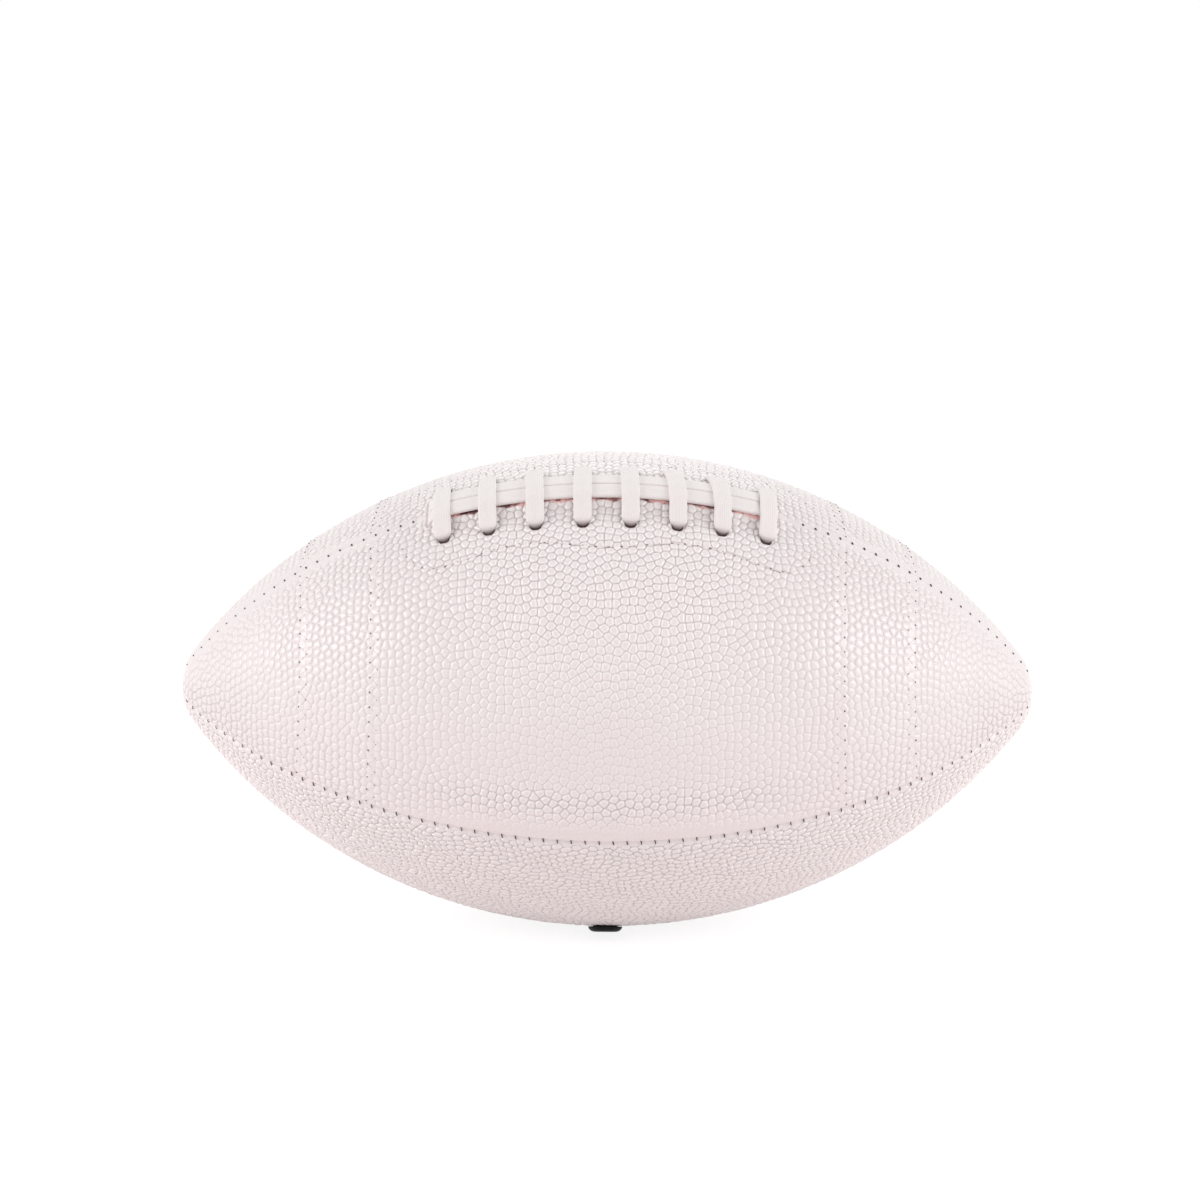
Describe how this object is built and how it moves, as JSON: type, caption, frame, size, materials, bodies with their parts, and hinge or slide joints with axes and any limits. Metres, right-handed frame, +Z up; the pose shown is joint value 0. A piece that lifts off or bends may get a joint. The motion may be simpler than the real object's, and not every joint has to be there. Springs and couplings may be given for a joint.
{
  "type": "american football",
  "caption": "White pebbled leather american football: sewn panels with stripe bands, flat lacing over a faced slit, and a rubber bladder with an inflation valve inside.",
  "frame": {"origin": "middle of the ball, half way between its points", "axes": "+X along the ball from point to point, +Z up with the valve underneath, the lacing up and leaning towards -Y"},
  "size_m": [0.2798, 0.1559, 0.1561],
  "materials": {
    "panel_leather": "pebbled white leather, semi-matt",
    "stripe_leather": "pebbled white leather, semi-matt",
    "lining_cloth": "unbleached woven cloth",
    "lace_weave": "flat woven tape, matt ivory white",
    "pale_thread": "waxed thread, matt",
    "seam_thread": "waxed thread, matt, dark",
    "bladder_rubber": "matt black rubber",
    "valve_rubber": "smooth black rubber"
  },
  "bodies": {
    "root": {"panel_front": "panel_leather", "panel_back": "panel_leather", "panel_bottom_front": "panel_leather", "panel_bottom_back": "panel_leather", "stripe_front_left": "stripe_leather", "stripe_front_right": "stripe_leather", "stripe_back_left": "stripe_leather", "stripe_back_right": "stripe_leather", "lining_front": "lining_cloth", "lining_back": "lining_cloth", "lining_bottom_front": "lining_cloth", "lining_bottom_back": "lining_cloth", "lace_facing_front": "lining_cloth", "lace_facing_back": "lining_cloth", "tongue": "lining_cloth", "lace": "lace_weave", "facing_thread_front": "pale_thread", "facing_thread_back": "pale_thread", "stripe_thread_front_left_inner": "pale_thread", "stripe_thread_front_left_outer": "pale_thread", "stripe_thread_front_right_inner": "pale_thread", "stripe_thread_front_right_outer": "pale_thread", "stripe_thread_back_left_inner": "pale_thread", "stripe_thread_back_left_outer": "pale_thread", "stripe_thread_back_right_inner": "pale_thread", "stripe_thread_back_right_outer": "pale_thread", "seam_thread_front": "seam_thread", "seam_thread_back": "seam_thread", "seam_thread_bottom": "seam_thread", "seam_thread_top_left": "seam_thread", "seam_thread_top_right": "seam_thread", "bladder": "bladder_rubber", "valve_patch": "bladder_rubber", "valve": "valve_rubber"}
  },
  "joints": []
}
